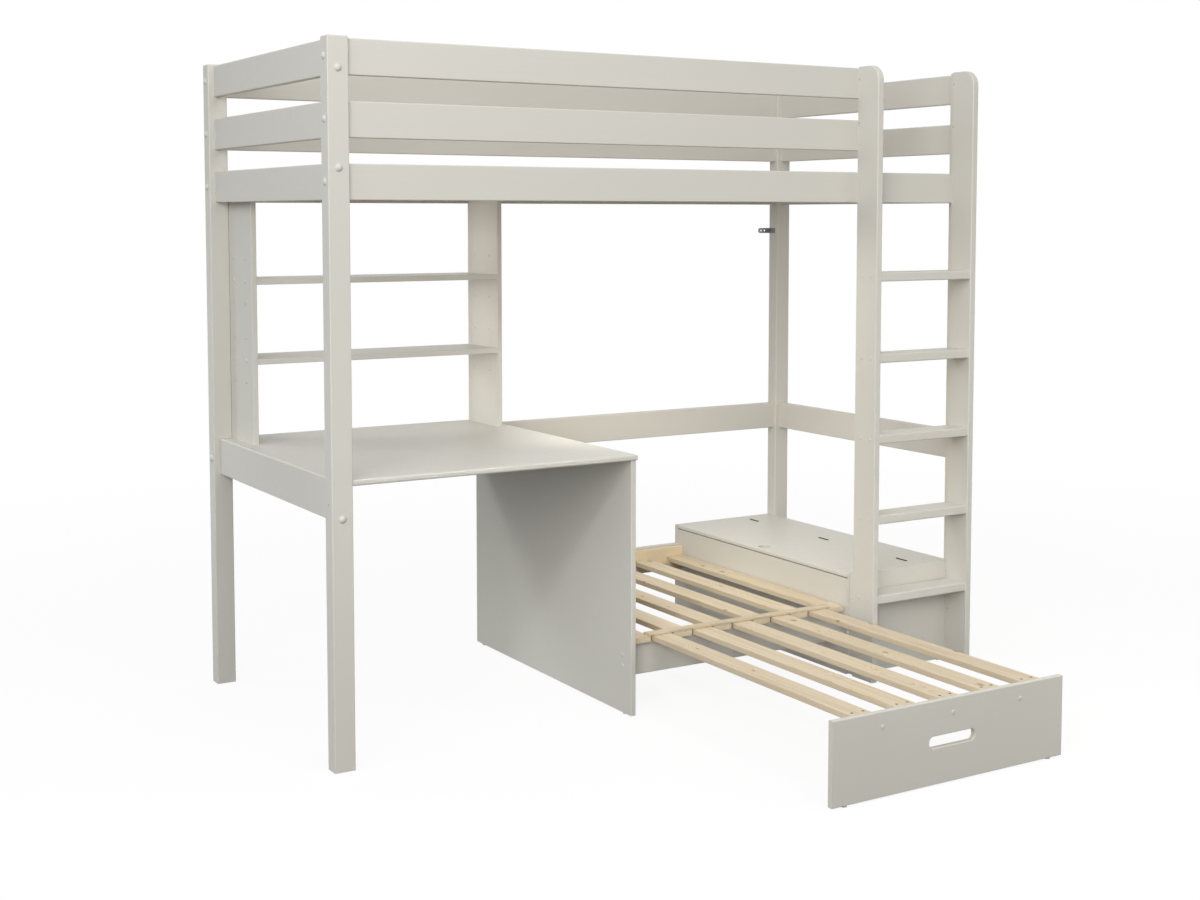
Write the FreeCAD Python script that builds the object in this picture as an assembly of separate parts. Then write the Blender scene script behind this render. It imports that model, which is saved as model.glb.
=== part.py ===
import FreeCAD, Part
import math
import os
from FreeCAD import Vector

# A high sleeper: a loft bed on four posts, with a desk and shelves, a ladder,
# a pull-out slatted guest bed and a lidded storage box under it.
# Millimetres. X runs along the bed, Y from the front to the back, Z up from the floor.
# The guest bed stands pulled out and the box lid is shut.

# Posts and overall frame
frame_length = 2122
frame_depth = 968
post_height = 1830
post_width = 56
post_depth = 46
post_edge_radius = 3

# Rails: one board section serves every rail and both ladder stiles
rail_height = 90
rail_thickness = 21
rail_edge_radius = 3
rail_gap = 63
top_rail_drop = 4
desk_rail_top = 720

# Slatted base of the upper bed
ledger_width = 20
ledger_height = 28
ledger_rise = 12
bed_slat_count = 14
bed_slat_width = 70
bed_slat_thickness = 18
bed_slat_end_play = 1
bed_end_margin = 30

# Ladder
stile_corner_radius = 46
rung_count = 5
rung_length = 352
rung_thickness = 27
rung_first_z = 234
rung_top_drop = 232
rung_front_inset = 3
rung_rear_inset = 6
rung_edge_radius = 4

# Boards of the desk, the shelves and the box
panel_thickness = 16
panel_edge_radius = 2

# Desk and shelf unit
desk_panel_front = 10
desk_front = 4
desk_side_overhang = 2
desk_rear_overlap = 5
desk_edge_radius = 5
upright_inset = 20
upright_depth = 203
shelf_lower_share = 0.331
shelf_upper_share = 0.661
shelf_front_inset = 2
peg_hole_radius = 2.5
peg_step = 64
peg_front_share = 0.26
peg_rear_share = 0.74
shelf_screw_radius = 2
shelf_screw_grip = 40
shelf_screw_head_radius = 4.5
shelf_screw_head_height = 1.5

# Bay of the guest bed, between the desk panel and the storage box
bay_width = 766
seat_rail_front = 47
slat_top = 213
slat_thickness = 16
slat_side_gap = 4.5
slat_gap = 7.5
sliding_slat_count = 5
slat_edge_radius = 2
fixed_slat_front = 36
slide_play = 0.4
strip_width = 25
strip_thickness = 8
strip_overlap = 15
rear_board_thickness = 18
rear_board_top = 243
rear_board_height = 73
seat_rear_rail_top = 250
seat_ledger_width = 20
seat_ledger_height = 20

# Guest bed that slides on the seat rail
guest_closed_front = -31.5
guest_panel_side_gap = 6
guest_stop_play = 1
guest_front_batten_depth = 28
guest_front_batten_height = 40
guest_rear_batten_depth = 18
guest_rear_batten_height = 22
handle_width = 150
handle_height = 29
handle_corner_radius = 13
handle_edge_radius = 2.5
handle_middle_z = 110

# Storage box with a hinged lid
box_wall_gap = 5.5
box_side_step = 11
box_top = 312
lid_thickness = 12
lid_seam_height = 2
lid_seam_depth = 3
box_base_z = 30
box_base_thickness = 10
fixed_top_width = 126
lid_end_play = 1
lid_joint_gap = 0.6
finger_hole_radius = 21
finger_hole_setback = 34

# Butt hinges of the lid
hinge_count = 3
hinge_length = 47
hinge_leaf_thickness = 1
hinge_leaf_height = 10
hinge_barrel_radius = 3
hinge_pin_radius = 1.5
hinge_pin_clearance = 0.05
hinge_knuckle_gap = 0.3
hinge_pocket_clearance = 0.4
hinge_end_setback = 71

# Bolts that clamp rails to posts and stiles, with domed cover caps
bolt_radius = 3
bolt_hole_clearance = 0.5
bolt_grip = 45
bolt_tip_gap = 3
bolt_head_radius = 7
bolt_head_height = 2
cap_radius = 10
cap_height = 6
cap_clearance = 0.4
end_bolt_offset_top = -29
end_bolt_offset_lower = 34
end_bolt_offset_desk = -35
stile_bolt_rise = 30

# Wall bracket and floor glides
bracket_drop = 92
bracket_width = 18
bracket_thickness = 2
bracket_post_leg = 34
bracket_wall_leg = 49
bracket_hole_radius = 3.2
bracket_hole_margin = 12
bracket_hole_step = 15
bracket_end_radius = 8
glide_radius = 7
glide_height = 4
glide_setback = 42

# One overrun serves every cut
overrun = 1

# Planes and levels worked out from the sizes above
right_post_x = frame_length - post_width
rear_post_y = frame_depth - post_depth
left_rail_x = (post_width - rail_thickness) / 2
right_rail_x = right_post_x + left_rail_x
front_rail_y = (post_depth - rail_thickness) / 2
rear_rail_y = rear_post_y + front_rail_y
bed_left_x = left_rail_x + rail_thickness
bed_front_y = front_rail_y + rail_thickness
rear_plane_y = rear_rail_y + rail_thickness
top_rail_z = post_height - top_rail_drop - rail_height
middle_rail_z = top_rail_z - rail_gap - rail_height
lower_rail_z = middle_rail_z - rail_gap - rail_height
desk_rail_z = desk_rail_top - rail_height
stile_front_y = front_rail_y - rail_height
stile_right_x = right_post_x - rail_thickness
stile_left_end = stile_right_x - rung_length
stile_left_x = stile_left_end - rail_thickness
rung_pitch = (lower_rail_z - rung_top_drop - rung_first_z) / (rung_count - 1)
bracket_z = lower_rail_z - bracket_drop
ledger_z = lower_rail_z + ledger_rise
bed_slat_z = ledger_z + ledger_height
desk_top_z = desk_rail_top + panel_thickness
bay_right = stile_left_x - box_side_step
bay_left = bay_right - bay_width
desk_panel_x = bay_left - panel_thickness
upright_right_x = desk_panel_x - upright_inset - panel_thickness
upright_front_y = rear_rail_y - upright_depth
shelf_room = lower_rail_z - desk_top_z
shelf_lower_z = desk_top_z + shelf_lower_share * shelf_room
shelf_upper_z = desk_top_z + shelf_upper_share * shelf_room
slat_z = slat_top - slat_thickness
fixed_slat_top = slat_top + slide_play
slat_count = 2 * sliding_slat_count + 1
slats_width = bay_width - 2 * slat_side_gap
slat_pitch = (slats_width + slat_gap) / slat_count
slat_width = slat_pitch - slat_gap
first_slat_x = bay_left + slat_side_gap
seat_rail_rear = seat_rail_front + rail_thickness
rear_board_front = rear_rail_y - rear_board_thickness
guest_batten_front = seat_rail_rear + guest_stop_play
guest_slat_rear = guest_batten_front + guest_rear_batten_depth
guest_travel = rear_board_front - seat_ledger_width - guest_stop_play - guest_slat_rear
guest_panel_front = guest_closed_front - guest_travel
guest_panel_rear = guest_panel_front + panel_thickness
box_front_y = front_rail_y
box_rear_y = frame_depth - box_wall_gap
box_inner_front = box_front_y + panel_thickness
box_inner_rear = box_rear_y - panel_thickness
box_lid_z = box_top - lid_thickness
hinge_line_x = right_post_x - fixed_top_width
lid_right_x = hinge_line_x - lid_joint_gap / 2
fixed_top_x = hinge_line_x + lid_joint_gap / 2
box_middle_y = (box_front_y + box_rear_y) / 2

AXES = {"x": Vector(1, 0, 0), "y": Vector(0, 1, 0), "z": Vector(0, 0, 1)}


# Shared shapes

def block(low, high):
    """A plain block between two corners."""
    return Part.makeBox(high[0] - low[0], high[1] - low[1], high[2] - low[2], Vector(*low))


def edges_along(shape, axis):
    """The straight edges of a shape that run along one axis."""
    return [e for e in shape.Edges if abs(e.tangentAt(e.FirstParameter).dot(AXES[axis])) > 0.999]


def board(low, high, along, radius):
    """A board whose four long edges are rounded."""
    solid = block(low, high)
    return solid.makeFillet(radius, edges_along(solid, along))


def rod(start, direction, length, radius):
    """A round bar from a point along a direction."""
    return Part.makeCylinder(radius, length, start, direction)


def meets(shape, tool):
    """True where the boxes round two shapes overlap."""
    return shape.BoundBox.intersect(tool.BoundBox)


def drilled(shape, tools):
    """A shape with every hole cut that reaches it."""
    for tool in tools:
        if meets(shape, tool):
            shape = shape.cut(tool)
    return shape


# Bolts: where each head sits, which way the shank runs and how long it is

def post_bolts():
    """Bolts through the posts into the ends of the long rails and the end rails."""
    places = []
    front_y = front_rail_y + rail_thickness / 2
    rear_y = rear_rail_y + rail_thickness / 2
    long_reach = post_width + bolt_grip
    for rail_z in (top_rail_z, middle_rail_z, lower_rail_z):
        middle_z = rail_z + rail_height / 2
        places.append((Vector(0, front_y, middle_z), AXES["x"], long_reach))
    right_front = Vector(frame_length, front_y, lower_rail_z + rail_height / 2)
    places.append((right_front, -AXES["x"], long_reach))
    for rail_z in (top_rail_z, middle_rail_z, lower_rail_z, desk_rail_z):
        middle_z = rail_z + rail_height / 2
        places.append((Vector(0, rear_y, middle_z), AXES["x"], long_reach))
        places.append((Vector(frame_length, rear_y, middle_z), -AXES["x"], long_reach))
    end_reach = post_depth + bolt_grip
    for rail_x in (left_rail_x, right_rail_x):
        middle_x = rail_x + rail_thickness / 2
        for rail_z, offset in ((top_rail_z, end_bolt_offset_top),
                               (lower_rail_z, end_bolt_offset_lower),
                               (desk_rail_z, end_bolt_offset_desk)):
            bolt_z = rail_z + rail_height / 2 + offset
            places.append((Vector(middle_x, 0, bolt_z), AXES["y"], end_reach))
            places.append((Vector(middle_x, frame_depth, bolt_z), -AXES["y"], end_reach))
    return places


def stile_bolts():
    """Bolts through the front rails into the rear edges of the ladder stiles."""
    places = []
    reach = rail_thickness + bolt_grip
    left_x = stile_left_x + rail_thickness / 2
    right_x = stile_right_x + rail_thickness / 2
    for rail_z in (top_rail_z, middle_rail_z):
        places.append((Vector(left_x, bed_front_y, rail_z + rail_height / 2), -AXES["y"], reach))
    for stile_x in (left_x, right_x):
        bolt_z = lower_rail_z + rail_height / 2 + stile_bolt_rise
        places.append((Vector(stile_x, bed_front_y, bolt_z), -AXES["y"], reach))
    return places


def bolt(place):
    """A flat-headed bolt whose head lies on the wood."""
    seat, direction, reach = place
    shank = rod(seat, direction, reach, bolt_radius)
    head = rod(seat, -direction, bolt_head_height, bolt_head_radius)
    return shank.fuse(head).removeSplitter()


def bolt_hole(place):
    """The hole that a bolt runs in, a little longer than its shank."""
    seat, direction, reach = place
    start = seat - direction * overrun
    return rod(start, direction, reach + overrun + bolt_tip_gap, bolt_radius + bolt_hole_clearance)


def bolt_cap(place):
    """A domed cover cap, hollow over the bolt's head."""
    seat, direction, reach = place
    outward = -direction
    ball_radius = (cap_radius ** 2 + cap_height ** 2) / (2 * cap_height)
    sunk = ball_radius - cap_height
    latitude = math.degrees(math.asin(sunk / ball_radius))
    dome = Part.makeSphere(ball_radius, seat - outward * sunk, outward, latitude, 90)
    hollow = rod(seat - outward * overrun, outward, overrun + bolt_head_height + cap_clearance,
                 bolt_head_radius + cap_clearance)
    return dome.cut(hollow)


POST_BOLTS = post_bolts()
ALL_BOLTS = POST_BOLTS + stile_bolts()
BOLT_HOLES = [bolt_hole(place) for place in ALL_BOLTS]


# Bed frame

def post(x, y):
    """A corner post with softened edges all round."""
    solid = block((x, y, 0), (x + post_width, y + post_depth, post_height))
    top_edges = [e for e in solid.Edges if e.BoundBox.ZMin > post_height - overrun]
    solid = solid.makeFillet(post_edge_radius, edges_along(solid, "z") + top_edges)
    return drilled(solid, BOLT_HOLES)


def long_rail(y, z, end_x):
    """A rail along the bed, from the left post to an end."""
    low = (post_width, y, z)
    high = (end_x, y + rail_thickness, z + rail_height)
    return drilled(board(low, high, "x", rail_edge_radius), BOLT_HOLES)


def end_rail(x, z):
    """A rail across one end of the bed, between its two posts."""
    low = (x, post_depth, z)
    high = (x + rail_thickness, rear_post_y, z + rail_height)
    return drilled(board(low, high, "y", rail_edge_radius), BOLT_HOLES)


def desk_end_rail():
    """The rail that carries the desk's left side, square at the top where the desk lies flush on it."""
    solid = block((left_rail_x, post_depth, desk_rail_z), (bed_left_x, rear_post_y, desk_rail_top))
    lower_edges = [e for e in edges_along(solid, "y") if e.BoundBox.ZMax < desk_rail_top - overrun]
    return drilled(solid.makeFillet(rail_edge_radius, lower_edges), BOLT_HOLES)


def bed_frame_parts():
    """The four posts and all rails that are bolted between them."""
    parts = {
        "post_front_left": post(0, 0),
        "post_front_right": post(right_post_x, 0),
        "post_rear_left": post(0, rear_post_y),
        "post_rear_right": post(right_post_x, rear_post_y),
        "front_rail_top": long_rail(front_rail_y, top_rail_z, stile_left_end),
        "front_rail_middle": long_rail(front_rail_y, middle_rail_z, stile_left_end),
        "front_rail_lower": long_rail(front_rail_y, lower_rail_z, right_post_x),
        "rear_seat_rail": long_rail(rear_rail_y, desk_rail_z, right_post_x),
        "left_desk_rail": desk_end_rail(),
        "right_seat_rail": end_rail(right_rail_x, desk_rail_z),
    }
    for level, z in (("top", top_rail_z), ("middle", middle_rail_z), ("lower", lower_rail_z)):
        parts["rear_rail_" + level] = long_rail(rear_rail_y, z, right_post_x)
        parts["left_rail_" + level] = end_rail(left_rail_x, z)
        parts["right_rail_" + level] = end_rail(right_rail_x, z)
    return parts


def bed_slats():
    """The slats of the upper bed, evenly spaced along the ledgers."""
    run = right_rail_x - bed_left_x - 2 * bed_end_margin - bed_slat_width
    step = run / (bed_slat_count - 1)
    slats = []
    for index in range(bed_slat_count):
        x = bed_left_x + bed_end_margin + index * step
        low = (x, bed_front_y + bed_slat_end_play, bed_slat_z)
        high = (x + bed_slat_width, rear_rail_y - bed_slat_end_play, bed_slat_z + bed_slat_thickness)
        slats.append(board(low, high, "y", slat_edge_radius))
    return slats


def ledger_battens():
    """Battens that carry slats: two in the upper bed and one behind the seat."""
    top = ledger_z + ledger_height
    front = board((post_width, bed_front_y, ledger_z),
                  (right_post_x, bed_front_y + ledger_width, top), "x", slat_edge_radius)
    rear = board((post_width, rear_rail_y - ledger_width, ledger_z),
                 (right_post_x, rear_rail_y, top), "x", slat_edge_radius)
    seat = board((bay_left, rear_board_front - seat_ledger_width, slat_z - seat_ledger_height),
                 (bay_right, rear_board_front, slat_z), "x", slat_edge_radius)
    return [front, rear, seat]


# Ladder

def ladder_stile(x):
    """An upright board on edge, with its top front corner swept round."""
    solid = block((x, stile_front_y, 0), (x + rail_thickness, front_rail_y, post_height))
    corner = [e for e in edges_along(solid, "x")
              if e.BoundBox.ZMin > post_height - overrun and e.BoundBox.YMax < stile_front_y + overrun]
    solid = solid.makeFillet(stile_corner_radius, corner)
    outline = [e for e in solid.Edges if e.BoundBox.YMax < front_rail_y - overrun
               and e.BoundBox.ZMax > overrun and e.BoundBox.XLength < overrun]
    return drilled(solid.makeFillet(rail_edge_radius, outline), BOLT_HOLES)


def ladder_rung(index):
    """A flat tread between the two stiles."""
    z = rung_first_z + index * rung_pitch
    low = (stile_left_end, stile_front_y + rung_front_inset, z)
    high = (stile_right_x, front_rail_y - rung_rear_inset, z + rung_thickness)
    return board(low, high, "x", rung_edge_radius)


# Desk and shelves

def desk_top():
    """The desk board, notched round the two left posts, with rounded front and side edges."""
    right = bay_left + desk_side_overhang
    rear = rear_rail_y + desk_rear_overlap
    solid = block((left_rail_x, desk_front, desk_rail_top), (right, rear, desk_top_z))
    level = [e for e in solid.Edges if e.BoundBox.ZLength < overrun
             and e.BoundBox.YMin < rear - overrun]
    on_rail = [e for e in level if e.BoundBox.XMax < left_rail_x + overrun
               and e.BoundBox.ZMax < desk_top_z - overrun]
    rounded = [e for e in level if not any(e.isSame(edge) for edge in on_rail)]
    solid = solid.makeFillet(desk_edge_radius, rounded)
    for notch_low, notch_high in ((-overrun, post_depth), (rear_post_y, frame_depth + overrun)):
        solid = solid.cut(block((-overrun, notch_low, desk_rail_top - overrun),
                                (post_width, notch_high, desk_top_z + overrun)))
    return solid


def desk_leg_panel():
    """The panel that carries the desk's right side, notched round the rear seat rail."""
    solid = board((desk_panel_x, desk_panel_front, glide_height),
                  (bay_left, rear_plane_y, desk_rail_top), "z", panel_edge_radius)
    return solid.cut(block((desk_panel_x - overrun, rear_rail_y, desk_rail_z),
                           (bay_left + overrun, rear_plane_y + overrun, desk_rail_top + overrun)))


def shelf_levels():
    """The height of each shelf's middle."""
    return [z + panel_thickness / 2 for z in (shelf_lower_z, shelf_upper_z)]


def peg_columns():
    """The two depths at which an upright is drilled."""
    return [upright_front_y + share * upright_depth for share in (peg_front_share, peg_rear_share)]


def shelf_upright(x):
    """An upright of the shelf unit, drilled through for three heights of each shelf."""
    low = (x, upright_front_y, desk_top_z)
    high = (x + panel_thickness, rear_rail_y, ledger_z)
    solid = board(low, high, "z", panel_edge_radius)
    holes = []
    for middle_z in shelf_levels():
        for step in (-1, 0, 1):
            for y in peg_columns():
                start = Vector(x - overrun, y, middle_z + step * peg_step)
                holes.append(rod(start, AXES["x"], panel_thickness + 2 * overrun, peg_hole_radius))
    return drilled(solid, holes)


def shelf_screw_places():
    """Where each shelf screw's head lies on an upright, and which way the screw runs."""
    places = []
    for middle_z in shelf_levels():
        for y in peg_columns():
            places.append((Vector(post_width, y, middle_z), AXES["x"]))
            places.append((Vector(upright_right_x + panel_thickness, y, middle_z), -AXES["x"]))
    return places


def shelf(z):
    """A shelf between the uprights, with blind holes for its screws."""
    low = (post_width + panel_thickness, upright_front_y + shelf_front_inset, z)
    high = (upright_right_x, rear_rail_y, z + panel_thickness)
    reach = panel_thickness + shelf_screw_grip + bolt_tip_gap
    holes = [rod(seat, direction, reach, peg_hole_radius) for seat, direction in shelf_screw_places()]
    return drilled(board(low, high, "x", panel_edge_radius), holes)


def shelf_screw(place):
    """A screw through an upright into the end of a shelf."""
    seat, direction = place
    shank = rod(seat, direction, panel_thickness + shelf_screw_grip, shelf_screw_radius)
    head = rod(seat, -direction, shelf_screw_head_height, shelf_screw_head_radius)
    return shank.fuse(head).removeSplitter()


# Seat and guest bed

def slat(index, front, rear, top):
    """One slat of the seat, counted from the desk panel."""
    x = first_slat_x + index * slat_pitch
    return board((x, front, slat_z), (x + slat_width, rear, top), "y", slat_edge_radius)


def seat_parts():
    """What stays under the bed: the rails, the rear board, the fixed slats and their guide strip."""
    rail_low = (bay_left, seat_rail_front, slat_z - rail_height)
    rail_high = (bay_right, seat_rail_rear, slat_z)
    rear_low = (bay_left, rear_rail_y, seat_rear_rail_top - rail_height)
    rear_high = (bay_right, rear_plane_y, seat_rear_rail_top)
    board_low = (bay_left, rear_board_front, rear_board_top - rear_board_height)
    board_high = (bay_right, rear_rail_y, rear_board_top)
    strip_low = (first_slat_x + slat_pitch - strip_overlap, fixed_slat_front, fixed_slat_top)
    strip_high = (first_slat_x + slats_width - slat_pitch + strip_overlap,
                  fixed_slat_front + strip_width, fixed_slat_top + strip_thickness)
    fixed = [slat(index, fixed_slat_front, rear_board_front, fixed_slat_top)
             for index in range(0, slat_count, 2)]
    return {
        "seat_front_rail": board(rail_low, rail_high, "x", rail_edge_radius),
        "seat_rear_rail": board(rear_low, rear_high, "x", rail_edge_radius),
        "seat_rear_board": board(board_low, board_high, "x", slat_edge_radius),
        "slat_guide_strip": board(strip_low, strip_high, "x", slat_edge_radius),
        "seat_fixed_slats": Part.makeCompound(fixed),
    }


def guest_front_panel():
    """The front of the guest bed, with a long hand hole."""
    low = (bay_left + guest_panel_side_gap, guest_panel_front, glide_height)
    high = (bay_right - guest_panel_side_gap, guest_panel_rear, slat_top)
    solid = board(low, high, "x", panel_edge_radius)
    middle_x = (low[0] + high[0]) / 2
    hand_low = (middle_x - handle_width / 2, guest_panel_front - overrun, handle_middle_z - handle_height / 2)
    hand_high = (middle_x + handle_width / 2, guest_panel_rear + overrun, handle_middle_z + handle_height / 2)
    hand_hole = board(hand_low, hand_high, "y", handle_corner_radius)
    solid = solid.cut(hand_hole)
    rim = [e for e in solid.Edges
           if e.BoundBox.YLength < overrun and e.BoundBox.XMin > hand_low[0] - overrun
           and e.BoundBox.XMax < hand_high[0] + overrun]
    return solid.makeFillet(handle_edge_radius, rim)


def guest_bed_parts():
    """What slides out: the front panel, its slats, the two battens and the glides."""
    slats = [slat(index, guest_panel_rear, guest_slat_rear, slat_top)
             for index in range(1, slat_count, 2)]
    batten_left = first_slat_x + slat_pitch
    batten_right = first_slat_x + slats_width - slat_pitch
    front_batten = board((batten_left, guest_panel_rear, slat_z - guest_front_batten_height),
                         (batten_right, guest_panel_rear + guest_front_batten_depth, slat_z),
                         "x", slat_edge_radius)
    rear_batten = board((batten_left, guest_batten_front, slat_z - guest_rear_batten_height),
                        (batten_right, guest_batten_front + guest_rear_batten_depth, slat_z),
                        "x", slat_edge_radius)
    glide_y = (guest_panel_front + guest_panel_rear) / 2
    glides = [rod(Vector(x, glide_y, 0), AXES["z"], glide_height, glide_radius)
              for x in (bay_left + guest_panel_side_gap + glide_setback,
                        bay_right - guest_panel_side_gap - glide_setback)]
    return {
        "guest_front_panel": guest_front_panel(),
        "guest_slats": Part.makeCompound(slats),
        "guest_front_batten": front_batten,
        "guest_stop_batten": rear_batten,
        "guest_glides": Part.makeCompound(glides),
    }


# Storage box

def hinge_starts():
    """The front end of each hinge barrel."""
    first = box_inner_front + hinge_end_setback - hinge_length / 2
    last = box_inner_rear - hinge_end_setback - hinge_length / 2
    step = (last - first) / (hinge_count - 1)
    return [first + index * step for index in range(hinge_count)]


def hinge_pockets():
    """Room for the hinge barrels and leaves in the edges of the lid and the fixed top."""
    pockets = []
    barrel_reach = hinge_barrel_radius + hinge_pocket_clearance
    leaf_low_z = box_top - hinge_leaf_height - hinge_pocket_clearance
    for y in hinge_starts():
        low_y = y - hinge_pocket_clearance
        high_y = y + hinge_length + hinge_pocket_clearance
        for reach, low_z in ((barrel_reach, box_top - barrel_reach), (hinge_leaf_thickness, leaf_low_z)):
            pockets.append(block((hinge_line_x - reach, low_y, low_z),
                                 (hinge_line_x + reach, high_y, box_top + overrun)))
    return pockets


def hinge_leaf(start_y, side, knuckles):
    """A hinge leaf on one side of the joint line, with its share of the barrel."""
    knuckle_length = (hinge_length - 2 * hinge_knuckle_gap) / 3
    far_x = hinge_line_x + side * hinge_leaf_thickness
    low_x = min(hinge_line_x, far_x)
    high_x = max(hinge_line_x, far_x)
    bore = hinge_pin_radius + hinge_pin_clearance
    axis_start = Vector(hinge_line_x, start_y - overrun, box_top)
    leaf = block((low_x, start_y, box_top - hinge_leaf_height), (high_x, start_y + hinge_length, box_top))
    clear = hinge_barrel_radius + hinge_pin_clearance
    leaf = leaf.cut(rod(axis_start, AXES["y"], hinge_length + 2 * overrun, clear))
    for index in range(3):
        y = start_y + index * (knuckle_length + hinge_knuckle_gap)
        if index in knuckles:
            tube = rod(Vector(hinge_line_x, y, box_top), AXES["y"], knuckle_length, hinge_barrel_radius)
            web = block((low_x, y, box_top - clear - overrun), (high_x, y + knuckle_length, box_top))
            leaf = leaf.fuse(tube.fuse(web))
    bore_rod = rod(axis_start, AXES["y"], hinge_length + 2 * overrun, bore)
    return leaf.cut(bore_rod).removeSplitter()


def box_lid():
    """The lid, with a finger hole and pockets for the hinge barrels."""
    low = (bay_right, box_inner_front + lid_end_play, box_lid_z)
    high = (lid_right_x, box_inner_rear - lid_end_play, box_top)
    solid = block(low, high)
    front_edges = [e for e in edges_along(solid, "y") if e.BoundBox.XMax < bay_right + overrun]
    solid = solid.makeFillet(panel_edge_radius, front_edges)
    hole = rod(Vector(bay_right + finger_hole_setback, box_middle_y, box_lid_z - overrun), AXES["z"],
               lid_thickness + 2 * overrun, finger_hole_radius)
    return drilled(solid, [hole] + hinge_pockets())


def storage_box_parts():
    """The five panels, the fixed top, the lid and the hinges of the box."""
    side_low_z = glide_height
    left_high = (bay_right + panel_thickness, box_inner_rear, box_lid_z)
    right_low = (right_post_x - panel_thickness, box_inner_front, side_low_z)
    base_low = (bay_right + panel_thickness, box_inner_front, box_base_z)
    base_high = (right_post_x - panel_thickness, box_inner_rear, box_base_z + box_base_thickness)
    fixed_top = block((fixed_top_x, box_inner_front, box_lid_z), (right_post_x, box_inner_rear, box_top))
    left_panel = block((bay_right, box_inner_front, side_low_z), left_high)
    seam = block((bay_right - overrun, box_inner_front - overrun, box_lid_z - lid_seam_height),
                 (bay_right + lid_seam_depth, box_inner_rear + overrun, box_lid_z + overrun))
    starts = hinge_starts()
    pins = [rod(Vector(hinge_line_x, y, box_top), AXES["y"], hinge_length, hinge_pin_radius) for y in starts]
    return {
        "box_front_panel": board((stile_left_x, box_front_y, side_low_z),
                                 (right_post_x, box_inner_front, box_top), "x", panel_edge_radius),
        "box_rear_panel": board((bay_right, box_inner_rear, side_low_z),
                                (right_post_x, box_rear_y, box_top), "x", panel_edge_radius),
        "box_left_panel": left_panel.cut(seam),
        "box_right_panel": block(right_low, (right_post_x, box_inner_rear, box_lid_z)),
        "box_base": block(base_low, base_high),
        "box_fixed_top": drilled(fixed_top, hinge_pockets()),
        "box_lid": box_lid(),
        "hinge_fixed_leaves": Part.makeCompound([hinge_leaf(y, 1, (0, 2)) for y in starts]),
        "hinge_lid_leaves": Part.makeCompound([hinge_leaf(y, -1, (1,)) for y in starts]),
        "hinge_pins": Part.makeCompound(pins),
    }


# Wall bracket and glides

def wall_bracket():
    """A bent steel strap on the rear right post, with two holes for the wall."""
    low_z = bracket_z - bracket_width / 2
    high_z = bracket_z + bracket_width / 2
    wall_y = frame_depth - bracket_thickness
    tip_x = right_post_x - bracket_wall_leg
    post_leg = block((right_post_x - bracket_thickness, frame_depth - bracket_post_leg, low_z),
                     (right_post_x, frame_depth, high_z))
    wall_leg = block((tip_x, wall_y, low_z), (right_post_x, frame_depth, high_z))
    corners = [e for e in edges_along(wall_leg, "y") if e.BoundBox.XMax < tip_x + overrun]
    strap = wall_leg.makeFillet(bracket_end_radius, corners).fuse(post_leg).removeSplitter()
    holes = [rod(Vector(tip_x + bracket_hole_margin + index * bracket_hole_step, wall_y - overrun, bracket_z),
                 AXES["y"], bracket_thickness + 2 * overrun, bracket_hole_radius) for index in range(2)]
    return drilled(strap, holes)


def floor_glides():
    """Glides under the desk panel and the storage box."""
    desk_x = desk_panel_x + panel_thickness / 2
    front_y = box_front_y + panel_thickness / 2
    rear_y = box_rear_y - panel_thickness / 2
    places = [(desk_x, desk_panel_front + glide_setback), (desk_x, rear_plane_y - glide_setback)]
    for x in (bay_right + glide_setback, right_post_x - glide_setback):
        places += [(x, front_y), (x, rear_y)]
    return [rod(Vector(x, y, 0), AXES["z"], glide_height, glide_radius) for x, y in places]


def build():
    """Every piece by its name, in the corner frame of the front left post."""
    parts = bed_frame_parts()
    parts["ledger_battens"] = Part.makeCompound(ledger_battens())
    parts["bed_slats"] = Part.makeCompound(bed_slats())
    parts["ladder_stile_left"] = ladder_stile(stile_left_x)
    parts["ladder_stile_right"] = ladder_stile(stile_right_x)
    for index in range(rung_count):
        parts["ladder_rung_" + str(index + 1)] = ladder_rung(index)
    parts["desk_top"] = desk_top()
    parts["desk_leg_panel"] = desk_leg_panel()
    parts["shelf_upright_left"] = shelf_upright(post_width)
    parts["shelf_upright_right"] = shelf_upright(upright_right_x)
    parts["shelf_lower"] = shelf(shelf_lower_z)
    parts["shelf_upper"] = shelf(shelf_upper_z)
    parts["shelf_screws"] = Part.makeCompound([shelf_screw(place) for place in shelf_screw_places()])
    parts.update(seat_parts())
    parts.update(guest_bed_parts())
    parts.update(storage_box_parts())
    parts["frame_bolts"] = Part.makeCompound([bolt(place) for place in ALL_BOLTS])
    parts["bolt_caps"] = Part.makeCompound([bolt_cap(place) for place in POST_BOLTS])
    parts["wall_bracket"] = wall_bracket()
    parts["floor_glides"] = Part.makeCompound(floor_glides())
    return parts


# The origin is the middle of the floor area that the part covers with the guest bed out
front_reach = guest_panel_front
rear_reach = frame_depth + cap_height
to_origin = Vector(-frame_length / 2, -(front_reach + rear_reach) / 2, 0)

os.makedirs("parts", exist_ok=True)
for name, shape in build().items():
    shape.translate(to_origin)
    shape.exportStep("parts/" + name + ".step")
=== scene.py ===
import math

import bmesh
import bpy
from bpy.props import FloatProperty, FloatVectorProperty, PointerProperty
from mathutils import Matrix, Vector


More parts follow.
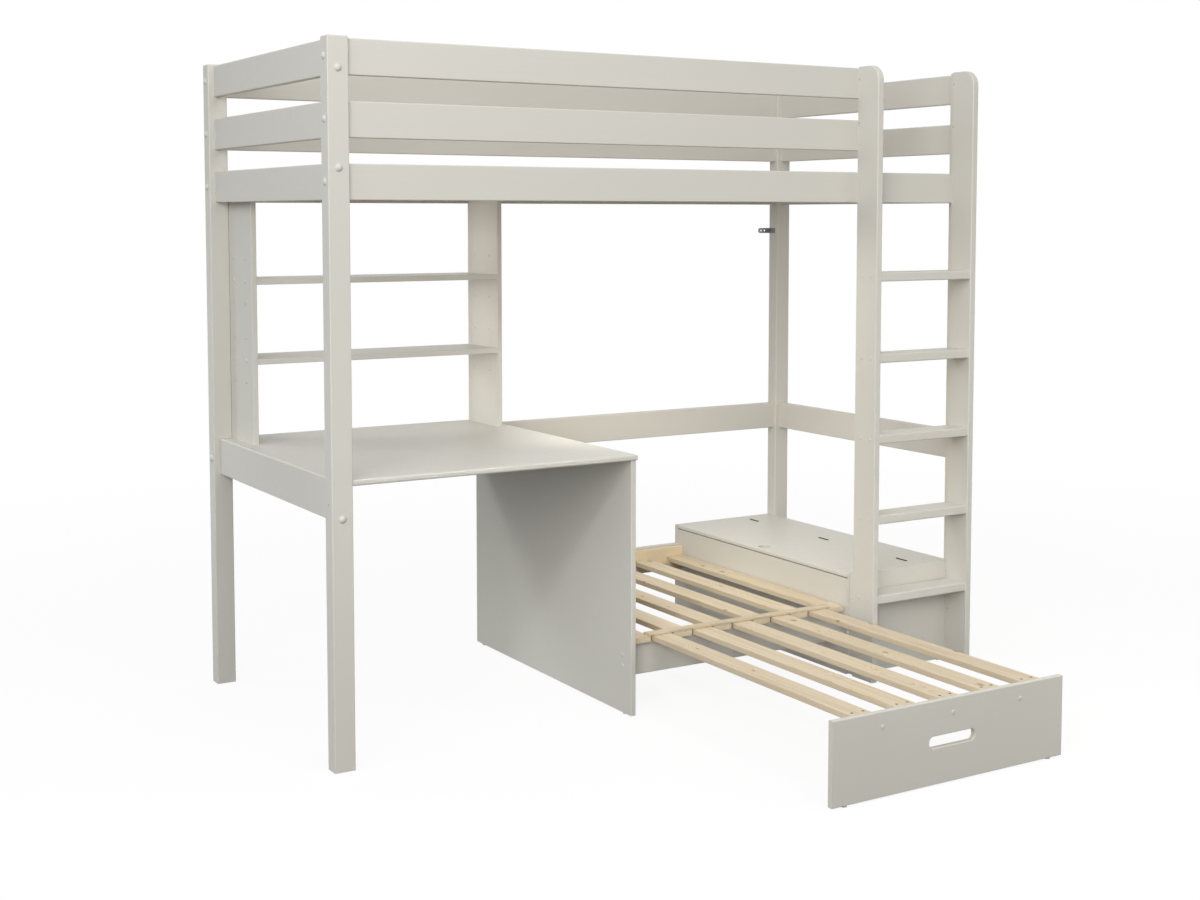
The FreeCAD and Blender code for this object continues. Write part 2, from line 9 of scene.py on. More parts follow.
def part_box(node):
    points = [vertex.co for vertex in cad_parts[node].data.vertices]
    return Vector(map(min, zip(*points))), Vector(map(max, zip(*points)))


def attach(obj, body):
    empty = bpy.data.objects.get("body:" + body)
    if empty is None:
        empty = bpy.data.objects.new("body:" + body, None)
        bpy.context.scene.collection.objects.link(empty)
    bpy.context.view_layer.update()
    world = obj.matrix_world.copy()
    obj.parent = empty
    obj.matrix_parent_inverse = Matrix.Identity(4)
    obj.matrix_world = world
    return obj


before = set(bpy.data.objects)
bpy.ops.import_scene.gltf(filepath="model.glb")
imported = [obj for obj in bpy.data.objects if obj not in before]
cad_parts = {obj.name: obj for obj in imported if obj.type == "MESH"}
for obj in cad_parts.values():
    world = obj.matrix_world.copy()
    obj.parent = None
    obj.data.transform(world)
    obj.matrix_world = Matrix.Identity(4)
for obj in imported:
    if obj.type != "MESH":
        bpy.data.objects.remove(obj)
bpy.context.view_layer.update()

bl_info = {
    "name": "High Sleeper Finishes",
    "version": (1, 0, 0),
    "blender": (4, 5, 0),
    "location": "View3D > Sidebar > High Sleeper",
    "description": "Paint, pine, small fittings and a studio stage for a high sleeper bed",
    "category": "Object",
}

# Painted boards by the direction of their grain
UPRIGHT_BOARDS = (
    "post_front_left", "post_front_right", "post_rear_left", "post_rear_right",
    "ladder_stile_left", "ladder_stile_right",
)
LONG_BOARDS = (
    "front_rail_top", "front_rail_middle", "front_rail_lower",
    "rear_rail_top", "rear_rail_middle", "rear_rail_lower", "rear_seat_rail",
    "seat_front_rail", "seat_rear_rail",
    "ladder_rung_1", "ladder_rung_2", "ladder_rung_3", "ladder_rung_4", "ladder_rung_5",
)
CROSS_BOARDS = (
    "left_rail_top", "left_rail_middle", "left_rail_lower", "left_desk_rail",
    "right_rail_top", "right_rail_middle", "right_rail_lower", "right_seat_rail",
)

# Smooth painted panels, and the two of them whose paint carries painted shade in the joint under the lid
PANELS = (
    "desk_top", "desk_leg_panel", "shelf_upright_left", "shelf_upright_right",
    "shelf_lower", "shelf_upper", "guest_front_panel", "box_front_panel", "box_left_panel",
    "box_rear_panel", "box_right_panel", "box_base", "box_lid", "box_fixed_top",
)
LID_PAINTED_SHADE_PANELS = ("box_left_panel", "box_lid")

# Pine, with two battens' tones: the rear board made paler as painted light, the guide strip darker, partly
# its own tone and partly painted shade
SEAT_SLATS = ("seat_fixed_slats", "guest_slats")
PINE_BATTENS = (
    "ledger_battens", "slat_guide_strip", "seat_rear_board", "guest_front_batten", "guest_stop_batten",
)
BATTEN_TONES_AND_PAINTED_LIGHT = {"slat_guide_strip": 0.88, "seat_rear_board": 1.20}

# Steel and plastic
STEEL_FITTINGS = ("frame_bolts", "shelf_screws", "wall_bracket")
HINGE_PARTS = ("hinge_fixed_leaves", "hinge_lid_leaves", "hinge_pins")
GLIDES = ("floor_glides", "guest_glides")

# Counts and places that the solids fix
RUNGS = 5
SLIDING_SLATS = 5
BED_SLATS = 14
SEAT_SLAT_WIDTH = 0.062
SEAT_SLAT_PITCH = 0.0695
BED_SLAT_WIDTH = 0.070
SLAT_DEPTH = 0.016
RUNG_CAP_SHARES = (0.25, 0.75)
PEG_SHARES = (0.26, 0.74)
PEG_STEP = 0.064
GUEST_CAP_SHARES = (0.203, 0.501, 0.802)

# Turns that lay a board's length along the grain of the patterns
ALONG_X = (0.0, 0.0, math.radians(90))
ALONG_Y = (0.0, 0.0, 0.0)
ALONG_Z = (math.radians(90), 0.0, 0.0)

# Soft boxes: name, place, what they face, width, height, spread in degrees, colour
BED_MIDDLE = (0.0, 0.0, 0.8)
WIDE = 180
LAMPS = (
    ("key_lamp", (-0.46, -2.07, 3.30), BED_MIDDLE, 2.0, 2.0, WIDE, (0.98, 1.0, 1.0)),
    ("front_lamp", (-4.0, -4.0, 2.5), BED_MIDDLE, 2.6, 2.6, WIDE, (1.0, 0.985, 0.975)),
    ("left_lamp", (-4.5, -0.8, 3.5), BED_MIDDLE, 2.6, 2.6, WIDE, (0.78, 0.87, 1.0)),
    ("rear_lamp", (-2.7, 2.5, 2.1), (-0.19, 0.60, 0.20), 0.8, 0.8, 32, (0.94, 1.0, 1.0)),
    ("desk_lamp", (-2.6, -1.7, 2.2), (-0.19, 0.20, 0.24), 0.5, 0.5, 14, (0.94, 1.0, 1.0)),
    ("ladder_lamp", (1.3, -1.5, 0.9), (0.8, 0.0, 0.3), 0.8, 0.8, WIDE, (1.0, 0.99, 0.92)),
    ("foot_lamp", (-1.6, -2.6, 1.2), (0.72, -0.04, 0.24), 0.5, 0.5, 12, (1.0, 1.0, 0.97)),
    ("bay_lamp", (0.15, 0.30, 1.22), (0.62, 0.40, 0.25), 0.4, 0.4, WIDE, (1.0, 0.97, 0.86)),
    ("box_lamp", (-0.45, 0.20, 1.27), (0.62, 0.50, 0.26), 0.25, 0.25, 60, (1.0, 0.98, 0.90)),
    ("shelf_lamp", (-0.965, 0.766, 1.085), (-0.2, 0.766, 1.085), 0.16, 0.62, 36, (1.0, 0.93, 0.855)),
)

WHITE = (1.0, 1.0, 1.0, 1.0)
UP = Vector((0, 0, 1))
FRONT = Vector((0, -1, 0))
LEFT = Vector((-1, 0, 0))
RIGHT = Vector((1, 0, 0))


class PaintSettings(bpy.types.PropertyGroup):
    """The satin paint on posts, rails, ladder and panels."""
    colour: FloatVectorProperty(
        name="Paint", description="Colour of the satin paint",
        subtype="COLOR", min=0, max=1, default=(0.615, 0.595, 0.540))
    roughness: FloatProperty(
        name="Paint roughness", description="How dull the dried paint is",
        subtype="FACTOR", min=0, max=1, default=0.46)
    tone_change: FloatProperty(
        name="Tone change", description="How far the tone drifts along a board",
        subtype="FACTOR", min=0, max=1, default=0.05)
    grain_depth: FloatProperty(
        name="Grain depth", description="Wood grain that shows through the paint on solid boards",
        unit="LENGTH", min=0, default=0.00022)
    stipple_depth: FloatProperty(
        name="Stipple depth", description="Relief that the roller leaves in the paint",
        unit="LENGTH", min=0, default=0.00004)


class PineSettings(bpy.types.PropertyGroup):
    """The bare pine of slats and battens."""
    early_colour: FloatVectorProperty(
        name="Early wood", description="Colour of the pale wood between the rings",
        subtype="COLOR", min=0, max=1, default=(0.700, 0.598, 0.438))
    late_colour: FloatVectorProperty(
        name="Late wood", description="Colour of the darker lines of the rings",
        subtype="COLOR", min=0, max=1, default=(0.520, 0.385, 0.235))
    knot_colour: FloatVectorProperty(
        name="Knots", description="Colour at the heart of a knot",
        subtype="COLOR", min=0, max=1, default=(0.370, 0.205, 0.105))
    ring_width: FloatProperty(
        name="Ring width", description="Distance from one year ring to the next",
        unit="LENGTH", min=0.0005, default=0.0034)
    roughness: FloatProperty(
        name="Pine roughness", description="How dull the planed pine is",
        subtype="FACTOR", min=0, max=1, default=0.58)


class FittingSettings(bpy.types.PropertyGroup):
    """Caps, screws, hinges, bracket and glides."""
    steel_colour: FloatVectorProperty(
        name="Steel", description="Colour of the zinc plated steel",
        subtype="COLOR", min=0, max=1, default=(0.25, 0.25, 0.255))
    hinge_colour: FloatVectorProperty(
        name="Hinges", description="Colour of the dark steel of the hinges",
        subtype="COLOR", min=0, max=1, default=(0.090, 0.085, 0.078))
    # Painted shade: this dark colour stands in for the shade down inside the small bored holes
    recess_shade_colour: FloatVectorProperty(
        name="Recess", description="Colour down inside a small bored hole",
        subtype="COLOR", min=0, max=1, default=(0.10, 0.09, 0.075))
    cap_colour: FloatVectorProperty(
        name="Caps", description="Colour of the moulded cover caps",
        subtype="COLOR", min=0, max=1, default=(0.615, 0.595, 0.540))
    glide_colour: FloatVectorProperty(
        name="Glides", description="Colour of the plastic floor glides",
        subtype="COLOR", min=0, max=1, default=(0.42, 0.40, 0.36))
    cap_radius: FloatProperty(
        name="Cap radius", description="Radius of the small cover caps over screws",
        unit="LENGTH", min=0.001, default=0.0058)
    cap_height: FloatProperty(
        name="Cap height", description="How far a small cover cap stands proud",
        unit="LENGTH", min=0.0005, default=0.0022)
    screw_radius: FloatProperty(
        name="Screw head radius", description="Radius of the screw heads in the slats",
        unit="LENGTH", min=0.001, default=0.0038)
    hole_radius: FloatProperty(
        name="Plug hole radius", description="Radius of the small hollow plugs in the ladder",
        unit="LENGTH", min=0.001, default=0.0026)
    peg_plug_radius: FloatProperty(
        name="Peg plug radius", description="Radius of the plugs in the spare peg holes",
        unit="LENGTH", min=0.0025, default=0.0046)


class StageSettings(bpy.types.PropertyGroup):
    """Floor, lamps and camera."""
    floor_colour: FloatVectorProperty(
        name="Floor", description="Colour of the light that the studio floor gives back",
        subtype="COLOR", min=0, max=1, default=(0.15, 0.149, 0.146))
    ambient: FloatProperty(
        name="Ambient light", description="Strength of the even light from all round",
        min=0, default=0.56)
    key_lamp_power: FloatProperty(
        name="Key lamp", description="Power of the high lamp in front",
        unit="POWER", min=0, default=28.6)
    front_lamp_power: FloatProperty(
        name="Front lamp", description="Power of the large soft box at the front left",
        unit="POWER", min=0, default=146)
    left_lamp_power: FloatProperty(
        name="Left lamp", description="Power of the high cool soft box on the left",
        unit="POWER", min=0, default=42)
    rear_lamp_power: FloatProperty(
        name="Rear lamp", description="Power of the narrow lamp behind the left end",
        unit="POWER", min=0, default=0.95)
    desk_lamp_power: FloatProperty(
        name="Desk lamp", description="Power of the narrow lamp that faces the desk's side panel",
        unit="POWER", min=0, default=0.24)
    ladder_lamp_power: FloatProperty(
        name="Ladder lamp", description="Power of the small lamp to the right of the ladder",
        unit="POWER", min=0, default=4.3)
    foot_lamp_power: FloatProperty(
        name="Foot lamp", description="Power of the narrow lamp that faces the foot of the ladder",
        unit="POWER", min=0, default=0.16)
    bay_lamp_power: FloatProperty(
        name="Bay lamp", description="Power of the small soft lamp under the upper bed",
        unit="POWER", min=0, default=2.3)
    box_lamp_power: FloatProperty(
        name="Box lamp", description="Power of the narrow lamp that faces the box",
        unit="POWER", min=0, default=0.5)
    shelf_lamp_power: FloatProperty(
        name="Shelf lamp", description="Power of the tall narrow lamp between the shelves",
        unit="POWER", min=0, default=0.31)
    camera_place: FloatVectorProperty(
        name="Camera", description="Where the camera stands",
        subtype="XYZ", unit="LENGTH", default=(-2.5686, -3.8470, 1.3940))
    camera_yaw: FloatProperty(
        name="Camera yaw", description="Turn of the camera to the right",
        unit="ROTATION", default=math.radians(31.099))
    camera_pitch: FloatProperty(
        name="Camera pitch", description="Tilt of the camera below the horizon",
        unit="ROTATION", default=math.radians(4.011))
    lens: FloatProperty(
        name="Lens", description="Focal length", unit="CAMERA", min=1, default=49.277)
    shift: FloatProperty(
        name="Lens shift", description="Upright shift of the lens", default=-0.10)


class HighSleeperSettings(bpy.types.PropertyGroup):
    """All that a user would change on the bed."""
    paint: PointerProperty(type=PaintSettings)
    pine: PointerProperty(type=PineSettings)
    fittings: PointerProperty(type=FittingSettings)
    stage: PointerProperty(type=StageSettings)


def settings():
    """The bed's settings in this scene."""
    return bpy.context.scene.high_sleeper


# Node helpers
def put(tree, kind, inputs=None, **options):
    """Adds a node, sets it, and feeds its inputs with plain values or from other nodes."""
    node = tree.nodes.new(kind)
    for name, value in options.items():
        setattr(node, name, value)
    for key, value in (inputs or {}).items():
        if isinstance(value, bpy.types.NodeSocket):
            tree.links.new(value, node.inputs[key])
        else:
            node.inputs[key].default_value = value
    return node


def calc(tree, operation, *values):
    """The output of one Math node."""
    return put(tree, "ShaderNodeMath", dict(enumerate(values)), operation=operation).outputs[0]


def vector_calc(tree, operation, first, second):
    """The vector that one Vector Math node puts out."""
    return put(tree, "ShaderNodeVectorMath", {0: first, 1: second}, operation=operation).outputs[0]


def length_of(tree, vector):
    """How long a vector is."""
    return put(tree, "ShaderNodeVectorMath", {0: vector}, operation="LENGTH").outputs["Value"]


def point(tree, **axes):
    """A vector from values for some of its axes."""
    return put(tree, "ShaderNodeCombineXYZ", axes).outputs[0]


def axes_of(tree, vector):
    """The X, Y and Z of a vector."""
    return put(tree, "ShaderNodeSeparateXYZ", {0: vector}).outputs


def noise(tree, vector, scale=1.0, detail=2.0):
    """Soft noise between 0 and 1."""
    inputs = {"Vector": vector, "Scale": scale, "Detail": detail}
    return put(tree, "ShaderNodeTexNoise", inputs).outputs[0]


def mixed_noise(tree, noise_on_top, share, noise_below):
    """A share of one noise on top of another, evenly round 0."""
    both = calc(tree, "MULTIPLY_ADD", noise_on_top, share, noise_below)
    return calc(tree, "SUBTRACT", both, (1.0 + share) / 2)


def remap(tree, value, old, new, way="LINEAR"):
    """A value moved from one range to another and held there."""
    inputs = {"Value": value, "From Min": old[0], "From Max": old[1], "To Min": new[0], "To Max": new[1]}
    return put(tree, "ShaderNodeMapRange", inputs, interpolation_type=way).outputs[0]


def shade(tree, colour, factor):
    """A colour made lighter or darker by a factor."""
    return put(tree, "ShaderNodeVectorMath", {0: colour, "Scale": factor}, operation="SCALE").outputs[0]


def blend_colours(tree, factor, first, second):
    """One colour laid over another by a mask."""
    node = put(tree, "ShaderNodeMix", {0: factor, 6: first, 7: second}, data_type="RGBA")
    return node.outputs[2]


# Surface groups: what goes in, what comes out, and the ranges that soft noise mostly keeps to
SURFACE_OUTPUTS = {"Colour": "Color", "Roughness": "Float", "Height": "Float"}
PAINT_INPUTS = {
    "Vector": "Vector", "Colour": "Color", "Roughness": "Float", "Tone Change": "Float",
    "Grain Depth": "Float", "Stipple Depth": "Float",
    # The Joint inputs place the painted shade in the joint under the lid and set how dark it is
    "Joint Low": "Float", "Joint High": "Float", "Joint Reach": "Float", "Joint Shade": "Float",
}
PINE_INPUTS = {
    "Vector": "Vector", "Board Start": "Float", "Board Pitch": "Float", "Level": "Float",
    "Early": "Color", "Late": "Color", "Knot": "Color", "Ring Width": "Float", "Roughness": "Float",
}
SPECKLE_INPUTS = {
    "Vector": "Vector", "Colour": "Color", "Roughness": "Float", "Change": "Float", "Relief": "Float",
}
NOISE_RANGE = (0.3, 0.7)
BROAD_RANGE = (0.25, 0.75)


def surface_group(name, inputs, lay):
    """A shader group for a surface, built once and then shared. lay() gives what its outputs show."""
    if name in bpy.data.node_groups:
        return bpy.data.node_groups[name]
    tree = bpy.data.node_groups.new(name, "ShaderNodeTree")
    for label, kind in inputs.items():
        tree.interface.new_socket(label, in_out="INPUT", socket_type="NodeSocket" + kind)
    for label, kind in SURFACE_OUTPUTS.items():
        tree.interface.new_socket(label, in_out="OUTPUT", socket_type="NodeSocket" + kind)
    entry = tree.nodes.new("NodeGroupInput").outputs
    leave = tree.nodes.new("NodeGroupOutput").inputs
    for label, value in zip(SURFACE_OUTPUTS, lay(tree, entry)):
        tree.links.new(value, leave[label])
    return tree


def painted_joint_shadow(tree, entry):
    """Painted shade in the joint under the lid: how much darker the paint is made between two heights and
    left of a limit.
    """
    axes = axes_of(tree, entry["Vector"])
    over = calc(tree, "GREATER_THAN", axes["Z"], entry["Joint Low"])
    under = calc(tree, "LESS_THAN", axes["Z"], entry["Joint High"])
    near = calc(tree, "LESS_THAN", axes["X"], entry["Joint Reach"])
    joint = calc(tree, "MULTIPLY", calc(tree, "MULTIPLY", over, under), near)
    return calc(tree, "MULTIPLY", joint, entry["Joint Shade"])


def lay_paint(tree, entry):
    """Dried paint: a drift of tone, roller stipple, grain that shows through along Y, and painted shade in
    one joint.
    """
    drift_scale = (5.0, 1.4, 5.0)
    streak_scale = (150.0, 3.0, 150.0)
    pore_scale = (900.0, 30.0, 900.0)
    stipple_scale = 620.0
    dull_scale = 45.0
    dull_change = (-0.05, 0.05)
    pore_share = 0.35
    streak_share = 0.25
    place = entry["Vector"]
    drift = noise(tree, vector_calc(tree, "MULTIPLY", place, drift_scale))
    streaks = noise(tree, vector_calc(tree, "MULTIPLY", place, streak_scale), detail=3.0)
    pores = noise(tree, vector_calc(tree, "MULTIPLY", place, pore_scale))
    stipple = noise(tree, place, stipple_scale)
    tone = mixed_noise(tree, streaks, streak_share, drift)
    # Painted shade: the paint is darkened in the joint under the lid
    lit = calc(tree, "SUBTRACT", 1.0, painted_joint_shadow(tree, entry))
    factor = calc(tree, "MULTIPLY_ADD", tone, entry["Tone Change"], lit)
    colour = shade(tree, entry["Colour"], factor)
    dullness = remap(tree, noise(tree, place, dull_scale, detail=3.0), NOISE_RANGE, dull_change)
    roughness = calc(tree, "ADD", entry["Roughness"], dullness)
    grain = calc(tree, "MULTIPLY_ADD", pores, pore_share, streaks)
    relief = calc(tree, "MULTIPLY", stipple, entry["Stipple Depth"])
    height = calc(tree, "MULTIPLY_ADD", grain, entry["Grain Depth"], relief)
    return colour, roughness, height


def pine_knots(tree, board, across, along, up):
    """Knots, one place to each cell of a coarse grid: how far they push the rings, and their dark hearts."""
    cell_width = 0.055
    cell_length = 0.21
    knot_length = 0.125
    scatter = 0.9
    board_step = 17.7
    bare_share = 0.40
    largest = 0.0080
    smallest = 0.0012
    push_reach = 0.034
    heart_edge = (-0.0032, 0.0022)
    heart_strength = 0.92
    column = calc(tree, "MULTIPLY_ADD", board, board_step, calc(tree, "DIVIDE", across, cell_width))
    cells = point(tree, X=column, Y=calc(tree, "DIVIDE", along, cell_length))
    inputs = {"Vector": cells, "Scale": 1.0, "Randomness": scatter}
    cell = put(tree, "ShaderNodeTexVoronoi", inputs, voronoi_dimensions="2D").outputs
    away = vector_calc(tree, "SUBTRACT", cells, cell["Position"])
    oval = vector_calc(tree, "MULTIPLY", away, (cell_width, knot_length, 0.0))
    below = point(tree, Z=calc(tree, "SUBTRACT", up, SLAT_DEPTH))
    reach = length_of(tree, vector_calc(tree, "ADD", oval, below))
    size = put(tree, "ShaderNodeSeparateColor", {0: cell["Color"]}).outputs[0]
    radius = remap(tree, size, (bare_share, 1.0), (0.0, largest))
    nearness = remap(tree, reach, (0.0, push_reach), (1.0, 0.0), "SMOOTHSTEP")
    push = calc(tree, "MULTIPLY", nearness, radius)
    edge = calc(tree, "SUBTRACT", reach, radius)
    heart = remap(tree, edge, heart_edge, (heart_strength, 0.0), "SMOOTHSTEP")
    mask = calc(tree, "MULTIPLY", heart, calc(tree, "GREATER_THAN", radius, smallest))
    return push, mask


def pine_pith(tree, line, across, up, aside, deep):
    """Distance from a pith that has its own place in each board and wanders along it."""
    wander_scale = 1.5
    wander_width = (-0.016, 0.016)
    pith_spread = 0.07
    pith_depth = 0.012
    depth_spread = 0.05
    wander = remap(tree, noise(tree, line, wander_scale), NOISE_RANGE, wander_width)
    start = calc(tree, "ADD", wander, -pith_spread / 2)
    pith = calc(tree, "MULTIPLY_ADD", aside, pith_spread, start)
    depth = calc(tree, "ADD", up, calc(tree, "MULTIPLY_ADD", deep, depth_spread, pith_depth))
    return length_of(tree, point(tree, X=calc(tree, "SUBTRACT", across, pith), Y=depth))


def pine_rings(tree, line, distance, ring_width):
    """A mask of the late wood, which darkens slowly through each year and ends at once."""
    uneven_scale = 9.0
    uneven_share = 0.5
    late_end = 0.94
    late_power = 2.4
    years = calc(tree, "DIVIDE", distance, ring_width)
    uneven = calc(tree, "MULTIPLY_ADD", noise(tree, line, uneven_scale), uneven_share, years)
    ring = calc(tree, "FRACT", uneven)
    late = calc(tree, "POWER", remap(tree, ring, (0.0, late_end), (0.0, 1.0)), late_power)
    fade = remap(tree, ring, (late_end, 1.0), (1.0, 0.0), "SMOOTHSTEP")
    return calc(tree, "MULTIPLY", late, fade)


def lay_pine(tree, entry):
    """Planed pine that runs along Y: rings round a pith, fibres, small knots, a new start for every board."""
    along_step = 7.31
    line_step = 3.7
    broad_step = 11.3
    fibre_scale = (620.0, 9.0, 620.0)
    broad_across = 55.0
    broad_along = 2.2
    push_strength = 1.9
    ring_contrast = (0.30, 1.00)
    fibre_share = 0.32
    early_bias = 0.10
    board_tones = 0.09
    broad_tones = (1.03, 0.95)
    fibre_dullness = 0.16
    late_gloss = -0.10
    late_relief = 0.00006
    fibre_relief = 0.00008
    half = 0.5
    axes = axes_of(tree, entry["Vector"])
    up = calc(tree, "SUBTRACT", axes["Z"], entry["Level"])
    from_start = calc(tree, "SUBTRACT", axes["X"], entry["Board Start"])
    steps = calc(tree, "DIVIDE", from_start, entry["Board Pitch"])
    board = calc(tree, "FLOOR", steps)
    inside = calc(tree, "SUBTRACT", calc(tree, "SUBTRACT", steps, board), half)
    across = calc(tree, "MULTIPLY", inside, entry["Board Pitch"])
    along = calc(tree, "MULTIPLY_ADD", board, along_step, axes["Y"])
    chance = put(tree, "ShaderNodeTexWhiteNoise", {"W": board}, noise_dimensions="1D").outputs["Color"]
    aside, deep, pale = put(tree, "ShaderNodeSeparateColor", {0: chance}).outputs
    push, knots = pine_knots(tree, board, across, along, up)
    line = point(tree, X=calc(tree, "MULTIPLY", board, line_step), Y=axes["Y"])
    distance = pine_pith(tree, line, across, up, aside, deep)
    bent = calc(tree, "MULTIPLY_ADD", push, push_strength, distance)
    late = pine_rings(tree, line, bent, entry["Ring Width"])
    fibre_place = point(tree, X=axes["X"], Y=along, Z=axes["Z"])
    fibres = noise(tree, vector_calc(tree, "MULTIPLY", fibre_place, fibre_scale), detail=3.0)
    broad_start = calc(tree, "MULTIPLY", board, broad_step)
    broad = noise(tree, point(
        tree, X=calc(tree, "MULTIPLY_ADD", axes["X"], broad_across, broad_start),
        Y=calc(tree, "MULTIPLY", along, broad_along)))
    amount = calc(tree, "MULTIPLY", late, remap(tree, broad, BROAD_RANGE, ring_contrast))
    streaked = calc(tree, "MULTIPLY_ADD", fibres, fibre_share, calc(tree, "SUBTRACT", amount, early_bias))
    wood = blend_colours(tree, streaked, entry["Early"], entry["Late"])
    broad_tone = remap(tree, broad, BROAD_RANGE, broad_tones)
    tone = calc(tree, "MULTIPLY_ADD", calc(tree, "SUBTRACT", pale, half), board_tones, broad_tone)
    colour = blend_colours(tree, knots, shade(tree, wood, tone), entry["Knot"])
    smooth = calc(tree, "SUBTRACT", entry["Roughness"], fibre_dullness / 2)
    dullness = calc(tree, "MULTIPLY_ADD", fibres, fibre_dullness, smooth)
    roughness = calc(tree, "MULTIPLY_ADD", late, late_gloss, dullness)
    height = calc(tree, "MULTIPLY_ADD", late, late_relief, calc(tree, "MULTIPLY", fibres, fibre_relief))
    return colour, roughness, height


def lay_speckle(tree, entry):
    """Fine colour and roughness speckle of plated steel and moulded plastic."""
    cloud_scale = 70.0
    fine_scale = 1400.0
    fine_share = 0.5
    dull_share = 0.25
    cloud = noise(tree, entry["Vector"], cloud_scale)
    fine = noise(tree, entry["Vector"], fine_scale)
    speckle = mixed_noise(tree, fine, fine_share, cloud)
    factor = calc(tree, "MULTIPLY_ADD", speckle, entry["Change"], 1.0)
    colour = shade(tree, entry["Colour"], factor)
    roughness = calc(tree, "MULTIPLY_ADD", speckle, dull_share, entry["Roughness"])
    height = calc(tree, "MULTIPLY", fine, entry["Relief"])
    return colour, roughness, height


# Materials
def new_material(name, group, values, turn=ALONG_Y, metallic=0.0, coat=0.0):
    """A material whose colour, roughness and relief come from one group on Object coordinates."""
    if name in bpy.data.materials:
        return bpy.data.materials[name]
    material = bpy.data.materials.new(name)
    material.use_nodes = True
    tree = material.node_tree
    tree.nodes.clear()
    place = put(tree, "ShaderNodeTexCoord").outputs["Object"]
    turned = put(tree, "ShaderNodeMapping", {"Vector": place, "Rotation": turn}).outputs[0]
    surface = put(tree, "ShaderNodeGroup", node_tree=group)
    tree.links.new(turned, surface.inputs["Vector"])
    for label, value in values.items():
        surface.inputs[label].default_value = value
    bump = put(tree, "ShaderNodeBump", {"Height": surface.outputs["Height"], "Distance": 1.0})
    shader = put(tree, "ShaderNodeBsdfPrincipled", {
        "Base Color": surface.outputs["Colour"], "Roughness": surface.outputs["Roughness"],
        "Normal": bump.outputs[0], "Metallic": metallic, "Coat Weight": coat})
    put(tree, "ShaderNodeOutputMaterial", {"Surface": shader.outputs[0]})
    return material


def opaque(colour):
    """A colour with its alpha, as node sockets hold it."""
    return (*colour, 1.0)


def painted(name, turn, grain_share, **joint):
    """Satin paint over a board or panel, with painted shade in a joint where one is given."""
    paint = settings().paint
    return new_material(name, surface_group("paint_film", PAINT_INPUTS, lay_paint), {
        "Colour": opaque(paint.colour), "Roughness": paint.roughness, "Tone Change": paint.tone_change,
        "Grain Depth": paint.grain_depth * grain_share, "Stipple Depth": paint.stipple_depth, **joint}, turn)


def planed_pine(name, turn, start, pitch, level, tone=1.0):
    """Bare pine with its rings laid out board by board, paler or darker by a tone, which on two battens holds
    painted light and shade.
    """
    pine = settings().pine
    early = opaque(value * tone for value in pine.early_colour)
    late = opaque(value * tone for value in pine.late_colour)
    return new_material(name, surface_group("pine_wood", PINE_INPUTS, lay_pine), {
        "Board Start": start, "Board Pitch": pitch, "Level": level, "Early": early, "Late": late,
        "Knot": opaque(pine.knot_colour), "Ring Width": pine.ring_width, "Roughness": pine.roughness}, turn)


def speckled(name, colour, roughness, change, relief, metallic=0.0, coat=0.0):
    """Plated steel or moulded plastic."""
    return new_material(name, surface_group("fine_speckle", SPECKLE_INPUTS, lay_speckle), {
        "Colour": opaque(colour), "Roughness": roughness, "Change": change, "Relief": relief},
        metallic=metallic, coat=coat)


def zinc_steel():
    """Zinc plate of bolts, screws and the bracket."""
    return speckled(
        "zinc_steel", settings().fittings.steel_colour,
        roughness=0.38, change=0.30, relief=0.00001, metallic=1.0)


def hinge_steel():
    """Dark steel of the hinges and the screws in the guest bed."""
    return speckled(
        "hinge_steel", settings().fittings.hinge_colour,
        roughness=0.48, change=0.30, relief=0.00001, metallic=1.0)


def cap_plastic():
    """Moulded plastic of the cover caps."""
    return speckled(
        "cap_plastic", settings().fittings.cap_colour,
        roughness=0.30, change=0.06, relief=0.000006, coat=0.25)


def glide_plastic():
    """Tough plastic of the floor glides."""
    return speckled(
        "glide_plastic", settings().fittings.glide_colour,
        roughness=0.50, change=0.12, relief=0.00001)


def bored_recess():
    """Dark colour of the small hollow plugs: painted shade that stands in for the shade down inside a bored
    hole.
    """
    return speckled(
        "bored_recess", settings().fittings.recess_shade_colour,
        roughness=0.80, change=0.30, relief=0.00002)


def coat_nodes(nodes, material):
    """Gives CAD nodes a finish through their material slots."""
    for name in nodes:
        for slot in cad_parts[name].material_slots:
            slot.material = material


# Modelling helpers
def deselect():
    """Nothing is selected."""
    bpy.ops.object.select_all(action="DESELECT")


def edit(piece):
    """Edit mode on one piece, with nothing in it selected."""
    deselect()
    bpy.context.view_layer.objects.active = piece
    piece.select_set(True)
    bpy.ops.object.mode_set(mode="EDIT")
    bpy.ops.mesh.select_mode(type="FACE")
    bpy.ops.mesh.select_all(action="DESELECT")


def choose_top(piece):
    """Selects the faces that look upwards."""
    upright = 0.9
    mesh = bmesh.from_edit_mesh(piece.data)
    for face in mesh.faces:
        if face.normal.z > upright:
            face.select_set(True)
    bmesh.update_edit_mesh(piece.data)


def leave_edit():
    """Back to object mode, with flat faces flat and rounds smooth."""
    bpy.ops.object.mode_set(mode="OBJECT")
    bpy.ops.object.shade_smooth_by_angle(angle=math.radians(40))


def round_blank(radius, low, high, sides):
    """A turned blank between two heights, to be shaped."""
    deselect()
    bpy.ops.mesh.primitive_cylinder_add(
        vertices=sides, radius=radius, depth=high - low, location=(0, 0, (low + high) / 2))
    bpy.ops.object.transform_apply(location=True, rotation=True, scale=True)
    return bpy.context.object


def cover_cap(radius, height):
    """A domed cover cap on the XY plane."""
    dome_share = 0.82
    cap = round_blank(radius, 0.0, height, sides=32)
    edit(cap)
    choose_top(cap)
    bpy.ops.mesh.bevel(offset=height * dome_share, segments=5, affect="EDGES")
    leave_edit()
    return cap


